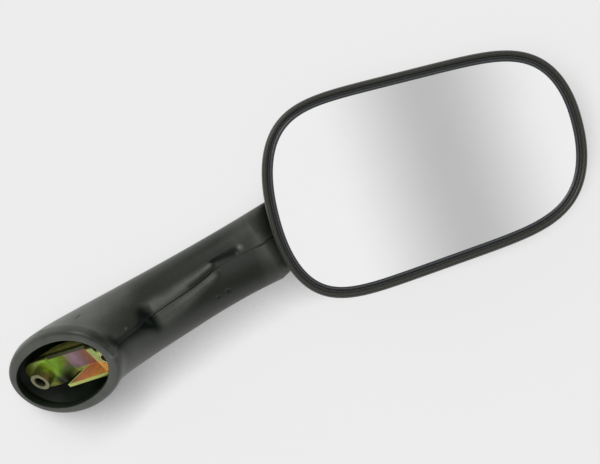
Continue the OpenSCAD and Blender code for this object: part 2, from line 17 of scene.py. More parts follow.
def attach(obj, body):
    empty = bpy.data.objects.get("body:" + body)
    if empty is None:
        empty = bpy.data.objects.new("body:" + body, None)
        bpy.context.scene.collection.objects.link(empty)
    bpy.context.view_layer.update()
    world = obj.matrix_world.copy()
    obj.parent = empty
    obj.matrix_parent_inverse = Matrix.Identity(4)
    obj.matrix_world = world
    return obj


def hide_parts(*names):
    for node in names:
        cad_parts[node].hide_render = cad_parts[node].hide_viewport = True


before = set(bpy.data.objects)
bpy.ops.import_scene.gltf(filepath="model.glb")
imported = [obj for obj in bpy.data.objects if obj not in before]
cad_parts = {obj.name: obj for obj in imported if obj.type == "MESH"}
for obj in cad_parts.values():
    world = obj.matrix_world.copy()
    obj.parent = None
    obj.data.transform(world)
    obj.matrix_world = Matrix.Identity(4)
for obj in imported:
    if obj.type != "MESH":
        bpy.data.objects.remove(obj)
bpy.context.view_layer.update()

# %% [markdown]
# ## Directions and places
#
# The part is measured in millimetres and Blender works in metres, so the shapes are worked
# out in millimetres and shrunk once, when a mesh is finished. Four directions matter: along
# the bracket, across it, out towards the fairing, and along the arm. They are the frame's
# own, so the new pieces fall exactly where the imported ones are.

# %% Directions and places
MM = 0.001
UP = np.array([0.0, 0.0, 1.0])


def unit(v):
    return np.asarray(v, float) / np.linalg.norm(v)


def lerp(a, b, t):
    return a + (b - a) * t


lean, yaw = math.radians(124), math.radians(-40)
mount_u = np.array([math.cos(yaw), math.sin(yaw), 0])
mount_v = np.array([-math.sin(yaw) * math.cos(lean), math.cos(yaw) * math.cos(lean), math.sin(lean)])
mount_n = np.cross(mount_u, mount_v)
glass_at = np.array([221.0, -40.0, 42.1])
ball_at = glass_at + [-58.5, 26.0, -2.2]
foot_at = 23.5 * mount_u + 3.0 * mount_v + 3.0 * mount_n
print("ball at", ball_at.round(1), "foot at", foot_at.round(1))

# %% [markdown]
# ## One helper for every moulded skin
#
# A moulded skin is a sheet that closes on itself. `create_grid` gives a flat sheet whose
# vertices know how far along and across they are, and moving each one to its place on the
# real surface wraps the sheet round the piece. Merging the doubles closes the seam. The
# other way, one loop bridged to the next, gives the same mesh more slowly.

# %% A helper that wraps a sheet into a skin
def finish_mesh(name, bm, body, node=None):
    """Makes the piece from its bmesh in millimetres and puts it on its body."""
    bmesh.ops.scale(bm, vec=(MM, MM, MM), verts=bm.verts)
    mesh = bpy.data.meshes.new(name)
    bm.to_mesh(mesh)
    bm.free()
    for face in mesh.polygons:
        face.use_smooth = True
    piece = bpy.data.objects.new(name, mesh)
    bpy.context.scene.collection.objects.link(piece)
    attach(piece, body)
    if node:
        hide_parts(node)
    print(name, len(mesh.polygons), "faces")
    return piece


def wrap_rows(bm, rows):
    """A closed skin through rows of points; each row is a closed ring of the same length."""
    table = np.array(rows)
    high, wide = table.shape[0] - 1, table.shape[1]
    row_of = bm.verts.layers.float.new("row")
    made = bmesh.ops.create_grid(bm, x_segments=wide, y_segments=high, size=1)
    for vert in made["verts"]:
        column = round((vert.co.x + 1) / 2 * wide) % wide
        row = round((vert.co.y + 1) / 2 * high)
        vert.co = table[row, column]
        vert[row_of] = row
    bmesh.ops.remove_doubles(bm, verts=made["verts"], dist=1e-5)
    return bm


print("wrapping helpers ready")

# %% [markdown]
# ## The rim outline
#
# The head's outline is a squared oval: flat long sides, round ends, a little narrower
# outboard and leaning slightly. Its reach at an angle has no simple formula, so it is found
# by halving, for all the angles at once.

# %% The rim outline
HEAD_HALF = (82.3, 50.4)
SQUARE = (5.1, 2.2)
TAPER, SHEAR, SHIFT = 0.08, 0.05, 1.9
HEAD_TURN = math.radians(1.4)


def oval_reach(phi):
    """How far the squared oval reaches at each angle, as a share of its half sizes."""
    low, high = np.full_like(phi, 0.9), np.full_like(phi, 1.5)
    for _ in range(24):
        mid = (low + high) / 2
        out = np.abs(mid * np.cos(phi)) ** SQUARE[0] + np.abs(mid * np.sin(phi)) ** SQUARE[1] > 1
        low, high = np.where(out, low, mid), np.where(out, mid, high)
    return low


def rim_curve(phi, inset=0.0):
    """Points of the outline in the glass's plane, from a slightly smaller oval if inset."""
    reach = oval_reach(phi)
    x = reach * np.cos(phi)
    v = (HEAD_HALF[1] - inset) * reach * np.sin(phi) * (1 - TAPER * x)
    u = (HEAD_HALF[0] - inset) * x + SHEAR * v
    c, s = math.cos(-HEAD_TURN), math.sin(-HEAD_TURN)
    return np.stack([SHIFT + u * c - v * s, u * s + v * c], axis=1)


def rim_inset(phi, distance):
    """The outline moved in by a true distance, square to itself."""
    step = math.radians(0.5)
    along = rim_curve(phi + step) - rim_curve(phi - step)
    inward = np.stack([-along[:, 1], along[:, 0]], axis=1)
    return rim_curve(phi) + distance * inward / np.linalg.norm(inward, axis=1, keepdims=True)


def ring_angles(count):
    return (np.arange(count) + 0.5) * 2 * math.pi / count


def head_points(flat, depth):
    """Points of an outline in the plane of the glass, set behind it by a depth."""
    depth = np.broadcast_to(depth, len(flat))
    return np.stack([flat[:, 0], depth, flat[:, 1]], axis=1) + glass_at


print("rim", np.ptp(rim_curve(ring_angles(360)), axis=0).round(1), "mm")

# %% [markdown]
# ## The trim ring
#
# The ring is one moulding with a round outer bead, a groove, and a flatter inner band that
# lips over the glass. Its section is drawn once, with a round bead, groove and band, and the
# section is carried round the outline. Sweeping a curve would do it too, but the inset
# sections keep an even width round the tight ends.

# %% The trim ring
SHELL_FRONT, RING_W, BEAD_W = 4.6, 5.7, 3.1
BEAD_RISE, BAND_RISE, GLASS_T, LIP_W = 2.1, 1.3, 3.0, 1.5


def arc(centre, radii, start, stop, count):
    """Points on part of an ellipse, angles in degrees."""
    a = np.radians(np.linspace(start, stop, count))
    return [(centre[0] + radii[0] * math.cos(t), centre[1] + radii[1] * math.sin(t)) for t in a]


def ring_section():
    """Distance in from the outline, and depth behind the glass face."""
    bead = arc((BEAD_W / 2, 0.4), (BEAD_W / 2, BEAD_RISE + 0.4), 180, 346, 15)
    groove = arc((BEAD_W + 0.42, -0.45), (0.36, 0.3), 150, 20, 5)
    band = arc((RING_W - 0.95, -0.35), (0.95, BAND_RISE - 0.35), 215, 360, 9)
    lip = [(RING_W, 0.0), (RING_W - LIP_W, 0.0), (RING_W - LIP_W, GLASS_T), (RING_W + 0.6, GLASS_T)]
    skirt = [(RING_W + 0.6, SHELL_FRONT + 1.4), (5.0, SHELL_FRONT + 1.4), (5.0, SHELL_FRONT)]
    back = [(0.25, SHELL_FRONT), (0.0, SHELL_FRONT - 0.25)]
    return bead + groove + band + lip + skirt + back


phi = ring_angles(400)
bm = wrap_rows(bmesh.new(), [head_points(rim_inset(phi, inset), depth)
                             for inset, depth in ring_section() + ring_section()[:1]])
bmesh.ops.recalc_face_normals(bm, faces=bm.faces)
trim = finish_mesh("trim_ring_fine", bm, "head", "trim_ring")

# %% [markdown]
# ## The head shell
#
# Nobody sees the back in a shop picture, but a rider ahead does. The shell is a deep bowl
# joined to a round hub over the ball joint, and hollowed where the arm comes in, so that the
# head can turn. A level function says how far a point is outside that form, and rays from
# one eye inside it are cut at the surface by halving. All the rays go together in numpy, so
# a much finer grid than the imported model's costs a second.

# %% The level of the shell's form
HEAD_DEPTH, BOWL_FULL, SHELL_WALL, SHELL_STEP = 44.0, 2.0, 2.5, 0.8
HUB_R, CUP_R, NECK_D, NECK_H = 24.0, 25.2, 12.0, 17.5
NECK_ROOM = math.radians(14)
GIRTH = 4.5
STAY_FOOT = 27 * mount_u + 1 * mount_v - 14.5 * mount_n
hub_in_head = ball_at - glass_at
arm_dir = unit(foot_at - GIRTH * mount_n - ball_at)
arm_up = unit(UP - arm_dir[2] * arm_dir)
arm_front = np.cross(arm_up, arm_dir)
stay_dir = unit(STAY_FOOT - ball_at)
STAY_L = np.linalg.norm(STAY_FOOT - ball_at)
eye = hub_in_head + [16.8, -6.2, 0]
POLE_AT = 61.6


def smooth_min(a, b, k):
    return np.minimum(a, b) - np.maximum(k - np.abs(a - b), 0) ** 2 / (4 * k)


def smooth_max(a, b, k):
    return -smooth_min(-a, -b, k)


def bowl_level(p):
    """How far points are outside the deep bowl, in millimetres; negative is inside."""
    q = p - [SHIFT, SHELL_FRONT, 0]
    c, s = math.cos(HEAD_TURN), math.sin(HEAD_TURN)
    flat_x, flat_z = q[:, 0] * c - q[:, 2] * s, q[:, 0] * s + q[:, 2] * c
    u = (flat_x - SHEAR * flat_z) / (HEAD_HALF[0] - SHELL_STEP)
    v = flat_z / ((HEAD_HALF[1] - SHELL_STEP) * (1 - TAPER * u))
    side = (np.abs(u) ** SQUARE[0] + np.abs(v) ** SQUARE[1]) ** (2 * BOWL_FULL / sum(SQUARE))
    deep = (np.maximum(q[:, 1], 0) / (HEAD_DEPTH - SHELL_FRONT)) ** BOWL_FULL
    return np.linalg.norm(q, axis=1) * (1 - 1 / np.maximum((side + deep) ** (1 / BOWL_FULL), 0.001))


def relief_level(w):
    """How far points are inside the hollow that the arm moves in."""
    wide = math.tan(math.asin(NECK_D / CUP_R) + NECK_ROOM)
    high = math.tan(math.asin(NECK_H / CUP_R) + NECK_ROOM)
    side = np.hypot(w @ arm_front, (w @ arm_up) * wide / high)
    return ((w @ arm_dir) * wide - side) / math.hypot(1, wide)


def shell_level(p):
    """How far points are outside the whole shell: the bowl, hollowed, joined to the hub."""
    w = p - hub_in_head
    blend = lerp(3, 12, np.clip(w[:, 1] / 14, 0, 1))
    bowl = smooth_max(bowl_level(p), relief_level(w), 5)
    hub = np.linalg.norm(w, axis=1) - HUB_R
    return smooth_max(smooth_min(bowl, hub, blend), p[:, 1] - HEAD_DEPTH, 6)


def shell_ring(turn, wall, phi):
    """One ring of the skin, from the rim at 0 towards the pole at 90 degrees."""
    rim = rim_curve(phi, SHELL_STEP) - [SHIFT, 0]
    rim = rim * (1 - wall / np.linalg.norm(rim, axis=1, keepdims=True)) + [SHIFT, 0]
    start = np.stack([rim[:, 0], np.full(len(phi), SHELL_FRONT), rim[:, 1]], axis=1)
    if turn == 0:
        return start
    ray = math.cos(turn) * (start - eye) + math.sin(turn) * np.array([0, POLE_AT, 0])
    low, high = np.zeros(len(phi)), np.full(len(phi), 3.0)
    for _ in range(26):
        mid = (low + high) / 2
        out = shell_level(eye + mid[:, None] * ray) + wall > 0
        low, high = np.where(out, low, mid), np.where(out, mid, high)
    return eye + low[:, None] * ray


print("stay", round(float(STAY_L), 1), "mm long")

# %% [markdown]
# ## The shell's skins, posts and hole
#
# The shell has an outer and an inner skin a wall apart, which meet at the rim and close at
# the pole. Three posts for the clamp screws stand on the inside, and each ends where the
# level function says that the skin is. The stud passes through a round hole. It is cut with
# a Boolean, because no ring of the skin runs round it, and the cutter is deleted afterwards.

# %% The shell's two skins and its posts
POST_R, POST_START = 4, 7.5
POSTS = ((16, 0), (-5, 14.5), (-5, -14.5))
phi = ring_angles(240)
turns = np.radians(np.concatenate([np.linspace(0, 84, 61), [86, 88, 89.4]]))
outer = [shell_ring(t, 0.0, phi) for t in turns]
inner = [shell_ring(t, SHELL_WALL, phi) for t in turns[::3]]
bm = wrap_rows(bmesh.new(), [row + glass_at for row in inner[::-1] + outer])
bmesh.ops.holes_fill(bm, edges=[e for e in bm.edges if e.is_boundary], sides=0)
for across, rise in POSTS:
    post = bmesh.ops.create_cone(bm, cap_ends=True, segments=32, radius1=POST_R, radius2=POST_R,
                                 depth=1)
    top = shell_level(hub_in_head + np.array([[across, y, rise] for y in range(8, 24)]))
    reach = 8 + int(np.argmax(top + SHELL_WALL / 2 > 0))
    bmesh.ops.rotate(bm, verts=post["verts"], cent=(0, 0, 0),
                     matrix=Matrix.Rotation(math.pi / 2, 3, "X"))
    bmesh.ops.scale(bm, verts=post["verts"], vec=(1, reach - POST_START, 1))
    bmesh.ops.translate(bm, verts=post["verts"],
                        vec=ball_at + [across, (reach + POST_START) / 2, rise])
bmesh.ops.recalc_face_normals(bm, faces=bm.faces)
shell = finish_mesh("head_shell_fine", bm, "head", "head_shell")

# %% The hole for the stud
STUD_HOLE_R, STUD_HOLE_AT = 11.5, 21.5
hole = bmesh.new()
bmesh.ops.create_cone(hole, cap_ends=True, segments=64, radius1=STUD_HOLE_R,
                      radius2=STUD_HOLE_R, depth=10)
turn_to_stay = Vector((0, 0, 1)).rotation_difference(Vector(stay_dir)).to_matrix()
bmesh.ops.rotate(hole, verts=hole.verts, cent=(0, 0, 0), matrix=turn_to_stay)
bmesh.ops.translate(hole, verts=hole.verts, vec=ball_at + STUD_HOLE_AT * stay_dir)
bmesh.ops.scale(hole, verts=hole.verts, vec=(MM, MM, MM))
hole_mesh = bpy.data.meshes.new("stud_hole")
hole.to_mesh(hole_mesh)
hole.free()
cutter = bpy.data.objects.new("stud_hole", hole_mesh)
bpy.context.scene.collection.objects.link(cutter)
cut = shell.modifiers.new("stud_hole", "BOOLEAN")
cut.object, cut.operation, cut.solver = cutter, "DIFFERENCE", "EXACT"
bpy.context.view_layer.update()
holed = bpy.data.meshes.new_from_object(shell.evaluated_get(bpy.context.evaluated_depsgraph_get()))
shell.modifiers.clear()
shell.data = holed
bpy.data.objects.remove(cutter)
print("shell with its hole", len(holed.polygons), "faces")

# %% [markdown]
# ## The rubber arm cover
#
# The cover is a hollow boot of soft rubber. Its open oval foot hugs the bracket, it narrows
# along the arm, and its small end is a cup that follows the hub. It is one skin wrapped from
# the cup, along the outside, over the rolled lip and down into the hollow. The columns are
# set closer on the side that the rider sees, because the moulding seam, the creases beside
# it and the nicks in the lip are there.

# %% The arm cover's sections
FOOT_HALF = (43.0, 25.5)
FOOT_LIP, FOOT_ROUND, COVER_WALL, COVER_SQUARE = 6.0, 3.0, 2.5, 2.1
FOOT_STRAIGHT, NECK_FLARE, CAVITY_SHARE, BORE_R = 11.0, 0.5, 0.62, 7.8
SKIRT_FLARE, CUP_SKIN_R = 3.0, 24.4
foot_turn = math.radians(14)
foot_u = math.cos(foot_turn) * mount_u + math.sin(foot_turn) * mount_v
foot_v = math.cos(foot_turn) * mount_v - math.sin(foot_turn) * mount_u
arm_line = [foot_at - GIRTH * mount_n,
            foot_at - (GIRTH + FOOT_STRAIGHT) * mount_n,
            lerp(foot_at, ball_at, 0.45) - FOOT_STRAIGHT * 0.1 * mount_n,
            ball_at + CUP_R * 0.9 * arm_dir]
theta = np.arange(256) * 2 * math.pi / 256
round_arm = theta - 0.45 * np.sin(theta)
oval = np.stack([np.sign(f) * np.abs(f) ** (2 / COVER_SQUARE)
                 for f in (np.cos(round_arm), np.sin(round_arm))], axis=1)


def cover_ring(t, wall):
    """A ring of the arm, from the foot at 0 to the ball at 1, moved in by a wall."""
    share = (1 - t ** 1.5) ** 2
    centre = ((1 - t) ** 3 * arm_line[0] + 3 * t * (1 - t) ** 2 * arm_line[1]
              + 3 * t * t * (1 - t) * arm_line[2] + t ** 3 * arm_line[3])
    front = lerp(NECK_D * arm_front, FOOT_HALF[0] * foot_u, share)
    up = lerp(NECK_H * arm_up, FOOT_HALF[1] * foot_v, (1 - t) ** 1.2)
    grown = (NECK_FLARE * (max(t - 0.7, 0) / 0.3) ** 2
             + SKIRT_FLARE * (max(t - 0.66, 0) / 0.3) ** 2.4)
    flare = np.where(oval[:, 1] < 0, grown, 0)[:, None]
    front = front * (1 - wall / np.linalg.norm(front))
    side = up * (1 - wall / np.linalg.norm(up)) + flare * unit(up)
    return centre + oval[:, :1] * front + oval[:, 1:] * side


def foot_ring(inset, down):
    """A ring of the lip; the mouth sits a little towards the boss, as on the real boot."""
    aside = -1.2 * max(inset - FOOT_ROUND, 0) / (FOOT_LIP - FOOT_ROUND) * foot_u
    return (foot_at + aside - down * mount_n + oval[:, :1] * (FOOT_HALF[0] - inset) * foot_u
            + oval[:, 1:] * (FOOT_HALF[1] - inset) * foot_v)


def cup_ring(share):
    """A ring on the cup's sphere, from the bore at 0 to the skin at 1."""
    skin = oval * [NECK_D, NECK_H]
    skin[:, 1] -= np.where(oval[:, 1] < 0, 1, 0) * NECK_FLARE * np.abs(oval[:, 1])
    bore = BORE_R * np.stack([np.cos(round_arm), np.sin(round_arm)], axis=1)
    p = lerp(bore, skin, share)
    out = np.sqrt(CUP_SKIN_R ** 2 - (p ** 2).sum(axis=1))
    return ball_at + p[:, :1] * arm_front + p[:, 1:] * arm_up + out[:, None] * arm_dir


def bore_ring(distance):
    """A round ring of the bore for the stay, at a distance from the ball."""
    up = unit(arm_up - (arm_up @ stay_dir) * stay_dir)
    front = np.cross(up, stay_dir)
    return (ball_at + distance * stay_dir
            + BORE_R * (np.cos(round_arm)[:, None] * front + np.sin(round_arm)[:, None] * up))


print("foot", [2 * half for half in FOOT_HALF], "mm, neck", 2 * NECK_D, "by", 2 * NECK_H)

# %% The rows of the skin, from the cup round to the hollow
CUP_SHARES = (0.1, 0.3, 0.5, 0.7, 0.85, 0.95, 0.985)
CUP_ROWS, SIDE_ROWS = len(CUP_SHARES), 250
quarter = np.radians(np.linspace(0, 90, 8))[1:]
lip = [foot_ring(d, down) for d, down in ((0.05, 3.0), (0.15, 2.0), (0.35, 1.25), (0.65, 0.7),
                                          (1.05, 0.35), (1.5, 0.14), (2.1, 0.04), (2.8, 0.0))]
flat = [foot_ring(d, 0) for d in (3.8, 4.7)]
inner_edge = [foot_ring(FOOT_LIP - 0.5 + 0.5 * math.sin(a), 0.6 * (1 - math.cos(a)))
              for a in quarter]
skin_rows = ([cup_ring(share) for share in CUP_SHARES]
             + [cover_ring(t, 0) for t in np.linspace(0.955, 0, SIDE_ROWS)]
             + lip + flat + inner_edge
             + [foot_ring(FOOT_LIP, 2.0), foot_ring(FOOT_LIP, GIRTH * 0.7)]
             + [cover_ring(t, COVER_WALL) for t in np.linspace(0.02, CAVITY_SHARE, 30)]
             + [bore_ring(d) for d in (STAY_L * (1 - CAVITY_SHARE) - 4, CUP_R + 3)])
OUTSIDE = CUP_ROWS + SIDE_ROWS + len(lip) + len(flat)
skin_rows.append(skin_rows[0])
print(len(skin_rows), "rows of", len(theta))

# %% [markdown]
# ## The creases and the seam
#
# A rubber boot that is pulled over a bracket puckers. On the rider's side there is a fine
# parting line from the lip to the neck, a fold that stands up along it, shallow sunk places
# at both ends of the fold, and a few nicks. Each is a soft stroke, from a few tenths of a
# millimetre to more than one, so it is written as a bent line with a radius and a height, in
# the view from the front. Each stroke also carries painted light or painted shade, and a
# stroke can also be only a place of painted light or painted shade.

# %% The lines of the seam and the creases
SEAM = np.array([(47.7, 4.9), (51.3, 7.5), (57.4, 9.8), (63.5, 12.0), (68.9, 15.0), (72.5, 16.5),
                 (79.5, 18.5), (86.6, 20.4), (94.8, 22.7), (100.7, 24.8), (107.2, 27.6),
                 (114.1, 29.0), (120.8, 30.0), (127.6, 31.0), (134.3, 32.0), (139.5, 32.4)])
# Each crease: its line (x, z), its radii at the left and right ends, how far it stands out,
# and its painted light (above 0) or painted shade (below 0).
CREASES = (
    ([(72.0, 19.6), (79.4, 21.4), (87.0, 23.7), (96.0, 26.6), (105.0, 29.8)],
     (3.4, 1.3), 1.3, 1.1),
    ([(74.1, 12.8), (81.6, 14.8), (90.0, 17.8), (98.5, 21.2), (106.0, 24.4)],
     (3.5, 1.6), 0.8, 0.85),
    ([(92.3, 23.6), (98.8, 26.0), (106.8, 29.4)], (1.1, 1.1), -0.3, -0.45),
    ([(65.9, 18.2), (66.3, 14.8)], (4.0, 4.0), -1.0, -0.95),
    ([(52.0, 8.6), (59.6, 10.6), (65.9, 13.4)], (3.0, 3.0), -0.7, -0.7),
    ([(66.8, 12.9), (69.5, 9.4)], (3.0, 3.0), -0.7, -0.85),
    ([(106.5, 31.8), (113.0, 32.9), (118.5, 33.3)], (1.0, 2.5), -0.8, -0.9),
    ([(122.2, 33.6), (122.9, 33.8)], (1.5, 1.5), 0.8, 1.0),
    ([(46.4, 3.4), (46.9, 6.4)], (1.5, 1.5), 1.0, 0.6),
    ([(40.0, 14.6), (47.0, 10.4), (50.0, 6.0)], (3.0, 3.0), -0.4, -0.5),
    ([(50.5, 0.0), (49.5, -6.0), (46.0, -13.0)], (3.6, 3.6), 0.0, -0.5),
    ([(41.0, 23.0), (50.0, 26.5), (59.0, 29.0)], (6.0, 6.0), 0.0, 0.3),
    ([(14.2, 25.6), (15.4, 26.2)], (0.6, 0.6), -0.9, -1.0),
    ([(33.5, 25.8), (35.5, 27.0)], (0.4, 0.4), -0.4, -0.6),
    ([(109.4, 15.2), (109.7, 15.0)], (0.7, 0.7), -0.7, -0.8),
    ([(103.7, 13.7), (104.0, 13.6)], (0.5, 0.5), -0.4, -0.5),
    ([(55.2, 13.4), (55.6, 13.8)], (0.5, 0.5), 0.3, 1.0))


def near_line(points, line, radii):
    """1 along a bent line and 0 well away; the radii are those at its left and right ends."""
    ends = sorted((line[0][0], line[-1][0]))
    radius = np.interp(points[:, 0], ends, radii)
    gaps = []
    for a, b in zip(np.array(line[:-1]), np.array(line[1:])):
        t = np.clip((points - a) @ (b - a) / ((b - a) @ (b - a)), 0, 1)
        gaps.append(((points - a - t[:, None] * (b - a)) ** 2).sum(axis=1))
    return np.exp(-np.min(gaps, axis=0) / radius ** 2)


def above_line(points, line):
    """Signed height above a bent line, which runs from left to right."""
    height = np.full(len(points), 99.0)
    for a, b in zip(line[:-1], line[1:]):
        t = np.clip((points - a) @ (b - a) / ((b - a) @ (b - a)), 0, 1)
        gap = points - (a + t[:, None] * (b - a))
        side = np.sign(gap[:, 1] * (b - a)[0] - gap[:, 0] * (b - a)[1])
        near = np.linalg.norm(gap, axis=1)
        height = np.where(near < np.abs(height), side * near, height)
    return height


print("creases", len(CREASES), "seam points", len(SEAM))

# %% [markdown]
# ## Pressing the creases into the boot
#
# The skin is wrapped first, and each of its points is then moved along its own normal. Only
# points on the outside that face the rider move. The seam is a fine groove with a soft step
# above it, strong along the fold and at the head, and faint on the neck between them.
# Sculpting by hand would be quicker, but could not be taken up again from numbers.

# %% Press the creases into the cover
GROOVE, STEP = 0.35, 0.3
SEAM_AT, SEAM_STRENGTH = (60, 68, 104, 110, 129, 133), (0.5, 1, 1, 0.35, 0.3, 1)
bm = wrap_rows(bmesh.new(), skin_rows)
bmesh.ops.recalc_face_normals(bm, faces=bm.faces)
bm.normal_update()
bm.verts.ensure_lookup_table()
places = np.array([v.co for v in bm.verts])
normals = np.array([v.normal for v in bm.verts])
front_view = places[:, [0, 2]]
row_of = bm.verts.layers.float["row"]
outside = np.array([CUP_ROWS <= v[row_of] <= OUTSIDE for v in bm.verts])
seen = np.clip((-normals[:, 1] - 0.15) / 0.4, 0, 1) * outside
rise, pale = np.zeros(len(places)), np.zeros(len(places))
for line, radii, height, shade in CREASES:
    soft = near_line(front_view, line, radii)
    rise += height * soft
    pale += shade * soft
seam = above_line(front_view, SEAM)
strength = np.interp(places[:, 0], SEAM_AT, SEAM_STRENGTH)
on_seam = np.exp(-(seam / 0.5) ** 2) * strength
step = np.exp(-((seam - 1.2) / 1.1) ** 2) * strength
move = seen * (rise - GROOVE * on_seam + STEP * step)
for vert, out, far in zip(bm.verts, normals, move):
    vert.co = vert.co + Vector(out * far)
cover = finish_mesh("arm_cover_fine", bm, "stay", "arm_cover")

# %% [markdown]
# ## Marks for the rubber's finish
#
# The finish carries painted shade in the sunken creases, a dark line on the seam, and painted
# light near the lip, on the high side of the neck, at the cup and on the pale creases. Three
# point attributes carry this to the material. They are worked out where the creases are
# known, which a pattern in the material could only guess at.

# %% Marks for the rubber's finish
high_side = places[:, 2] - np.interp(places[:, 0], SEAM[:, 0], SEAM[:, 1])
# Painted light: lighter near the lip, at the cup, on the high side of the neck and on the pale
# creases.
by_lip = 0.35 * np.clip((66 - places[:, 0]) / 26, 0, 1) * np.clip((34 - high_side) / 10, 0.3, 1)
by_cup = np.clip((places[:, 0] - 128) / 12, 0, 1)
on_neck = 0.25 * np.clip((places[:, 0] - 112) / 10, 0, 1) * np.clip(high_side / 12, 0, 1)
on_creases = np.clip(pale, 0, 1) * seen
# The first mark is painted shade in the sunken creases, the second the dark seam line, the third
# painted light.
for name, values in (("hollow", seen * np.clip(-pale, 0, 1)), ("seam", seen * on_seam),
                     ("painted_light", outside * np.clip(by_lip + by_cup + on_neck + on_creases, 0, 1))):
    mark = cover.data.attributes.new(name, "FLOAT", "POINT")
    mark.data.foreach_set("value", values.astype(np.float32))
    print(name, "reaches", round(float(values.max()), 2))

# %% [markdown]
# ## Which faces are inside the hollow foot
#
# The inside of the boot has a second, darker finish, which is painted shade in the hollow foot.
# The skin was wrapped from rows, and the rows after the lip are the inside.

# %% Which faces are inside the hollow foot
rows = np.empty(len(cover.data.vertices), np.float32)
cover.data.attributes["row"].data.foreach_get("value", rows)
for face in cover.data.polygons:
    if min(rows[i] for i in face.vertices) >= OUTSIDE:
        face.material_index = 1
print("faces inside the boot:", sum(face.material_index for face in cover.data.polygons))

# %% [markdown]
# ## The folded bracket
#
# The bracket is sheet steel, cut by a die and folded, then plated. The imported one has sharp
# corners, which real sheet never has, so it is copied, its flat faces are merged, and every
# corner is broken by about a quarter of a millimetre. Drawing it anew would risk a hole out
# of place. The long narrow faces are the die's cut through the sheet, and take a second
# finish. The seat's end beyond the boss grows a little, and the boss gets its countersink.

# %% A copy of a metal piece with broken corners
SEAT_GROWS, SEAT_END, SEAT_SPAN = 3.2, -2.0, 6.5
CUT_STRIP = (0.5, 1.0)
SHARP_CORNER = math.radians(38)


def countersink(bm, width):
    """Breaks the mouth of the bore at the origin by a wide, flat bevel."""
    rim = [e for e in bm.edges
           if all(abs(Vector(mount_n).dot(v.co)) < 0.05 and v.co.length < 3 for v in e.verts)]
    bmesh.ops.bevel(bm, geom=rim, offset=width, affect="EDGES", segments=1, profile=0.5,
                    material=-1)


def refined_copy(node, name, body, width, segments, mouth=0.0):
    """A copy of a packed metal piece with broken corners, and a countersink if it has a mouth."""
    source = bpy.data.objects[node]
    bm = bmesh.new()
    bm.from_mesh(source.data)
    bm.transform(source.matrix_world)
    bmesh.ops.scale(bm, vec=(1 / MM,) * 3, verts=bm.verts)
    bmesh.ops.remove_doubles(bm, verts=bm.verts, dist=1e-3)
    bmesh.ops.dissolve_limit(bm, angle_limit=math.radians(2), verts=bm.verts, edges=bm.edges)
    for face in bm.faces:
        strip = face.calc_area() / sum(e.calc_length() for e in face.edges)
        face.material_index = int(CUT_STRIP[0] < strip < CUT_STRIP[1])
    if mouth:
        countersink(bm, mouth)
    sharp = [e for e in bm.edges if len(e.link_faces) == 2 and e.calc_face_angle(0) > SHARP_CORNER]
    bmesh.ops.bevel(bm, geom=sharp, offset=width, affect="EDGES", segments=segments,
                    profile=0.5, material=-1, clamp_overlap=True)
    if node == "mount_bracket":
        for vert in bm.verts:
            along = vert.co.dot(Vector(mount_u))
            vert.co -= Vector(mount_u) * SEAT_GROWS * max(SEAT_END - along, 0) / SEAT_SPAN
    bmesh.ops.triangulate(bm, faces=[f for f in bm.faces if len(f.verts) > 4])
    bmesh.ops.recalc_face_normals(bm, faces=bm.faces)
    piece = finish_mesh(name, bm, body, node)
    piece.data.set_sharp_from_angle(angle=math.radians(30))
    return piece


print("seat grows by", SEAT_GROWS, "mm")

# %% [markdown]
# ## The bracket, the boss and the nut
#
# The three plated pieces are copied alike. Each point keeps its place along, across and out
# of the bracket, because the plating's colours run along the web and change from one side
# of the fold to the other, and an attribute holds that where Object coordinates would not.

# %% The bracket, the boss and the nut
def mark_directions(piece):
    """Stores each point's place along, across and out of the bracket, in millimetres."""
    points = np.array([v.co for v in piece.data.vertices]) / MM
    local = points @ np.stack([mount_u, mount_v, mount_n], axis=1)
    mark = piece.data.attributes.new("sheet_place", "FLOAT_VECTOR", "POINT")
    mark.data.foreach_set("vector", local.astype(np.float32).ravel())
    print(piece.name, "spans", local.min(axis=0).round(1), local.max(axis=0).round(1))


bracket = refined_copy("mount_bracket", "bracket_fine", "stay", 0.25, 2)
boss = refined_copy("mount_boss", "boss_fine", "stay", 0.3, 3, mouth=0.75)
clinch_nut = refined_copy("clinch_nut", "clinch_nut_fine", "stay", 0.2, 1)
for face in clinch_nut.data.polygons:
    face.material_index = 0
for piece in (bracket, boss, clinch_nut):
    mark_directions(piece)

# %% [markdown]
# ## Shared effects
#
# Real moulded rubber, plastic and plating are never one flat colour: they carry a soft
# mottling, a fine grain, dust and worn edges. The clouds, the grain and the worn edges are
# each one small node group that gives back a mask, so the same effect serves many finishes,
# and very fine clouds stand for dust.
# The finish itself stays a plain Principled shader that can be read at a glance.

# %% Node groups for mottling, grain and worn edges
def new_group(name, inputs, outputs):
    """An empty node group with named sockets, and its two end nodes."""
    group = bpy.data.node_groups.new(name, "ShaderNodeTree")
    for kind, label, value in inputs:
        group.interface.new_socket(label, in_out="INPUT", socket_type=kind).default_value = value
    for kind, label in outputs:
        group.interface.new_socket(label, in_out="OUTPUT", socket_type=kind)
    return group, group.nodes.new("NodeGroupInput"), group.nodes.new("NodeGroupOutput")


def put(tree, kind, values=None, **settings):
    """A new node with its settings and the values of its inputs."""
    node = tree.nodes.new(kind)
    for name, value in settings.items():
        setattr(node, name, value)
    for name, value in (values or {}).items():
        node.inputs[name].default_value = value
    return node


